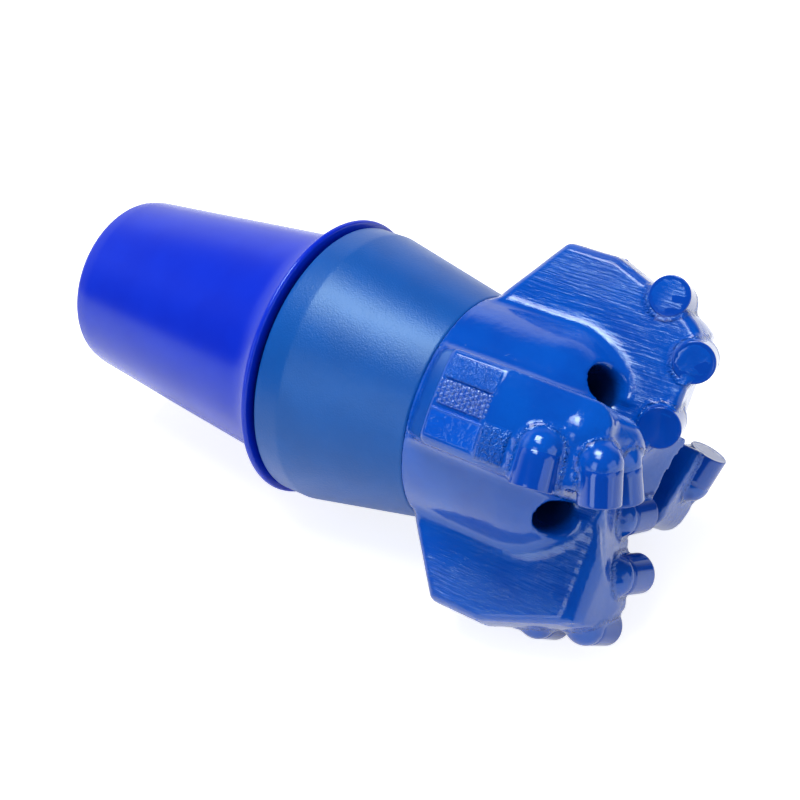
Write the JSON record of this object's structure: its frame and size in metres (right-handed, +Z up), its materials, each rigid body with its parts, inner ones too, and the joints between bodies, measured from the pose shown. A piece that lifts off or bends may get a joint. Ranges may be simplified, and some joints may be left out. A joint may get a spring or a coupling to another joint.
{
  "type": "PDC drill bit",
  "caption": "Fixed-cutter drag bit lying on its side: bladed crown with round cutters, waterways and gauge pads on a tapered shank, its pin covered by a moulded thread protector.",
  "frame": {"origin": "centre of the pin shoulder's face, where the shank meets the tool joint above it", "axes": "+X along the bit's axis towards the nose, +Z up with the bit lying on its side, blades halfway between Y and Z"},
  "size_m": [0.2576, 0.1208, 0.1208],
  "materials": {
    "cap_plastic": "gloss",
    "shank_paint": "satin",
    "crown_paint": "gloss",
    "cutter_paint": "gloss",
    "pad_paint": "gloss"
  },
  "bodies": {
    "root": {"thread_protector": "cap_plastic", "shank": "shank_paint", "crown": "crown_paint", "cutter_gauge_a": "cutter_paint", "cutter_nose_a": "cutter_paint", "cutter_cone_a": "cutter_paint", "cutter_gauge_b": "cutter_paint", "cutter_shoulder_b": "cutter_paint", "cutter_nose_b": "cutter_paint", "cutter_gauge_c": "cutter_paint", "cutter_shoulder_c": "cutter_paint", "cutter_nose_c": "cutter_paint", "cutter_cone_c": "cutter_paint", "cutter_gauge_d": "cutter_paint", "cutter_shoulder_d": "cutter_paint", "cutter_nose_d": "cutter_paint", "gauge_rear_pad_a": "pad_paint", "gauge_grit_pad_a": "pad_paint", "gauge_front_pad_a": "pad_paint", "gauge_rear_pad_b": "pad_paint", "gauge_grit_pad_b": "pad_paint", "gauge_front_pad_b": "pad_paint", "gauge_rear_pad_c": "pad_paint", "gauge_grit_pad_c": "pad_paint", "gauge_front_pad_c": "pad_paint", "gauge_rear_pad_d": "pad_paint", "gauge_grit_pad_d": "pad_paint", "gauge_front_pad_d": "pad_paint"}
  },
  "joints": []
}
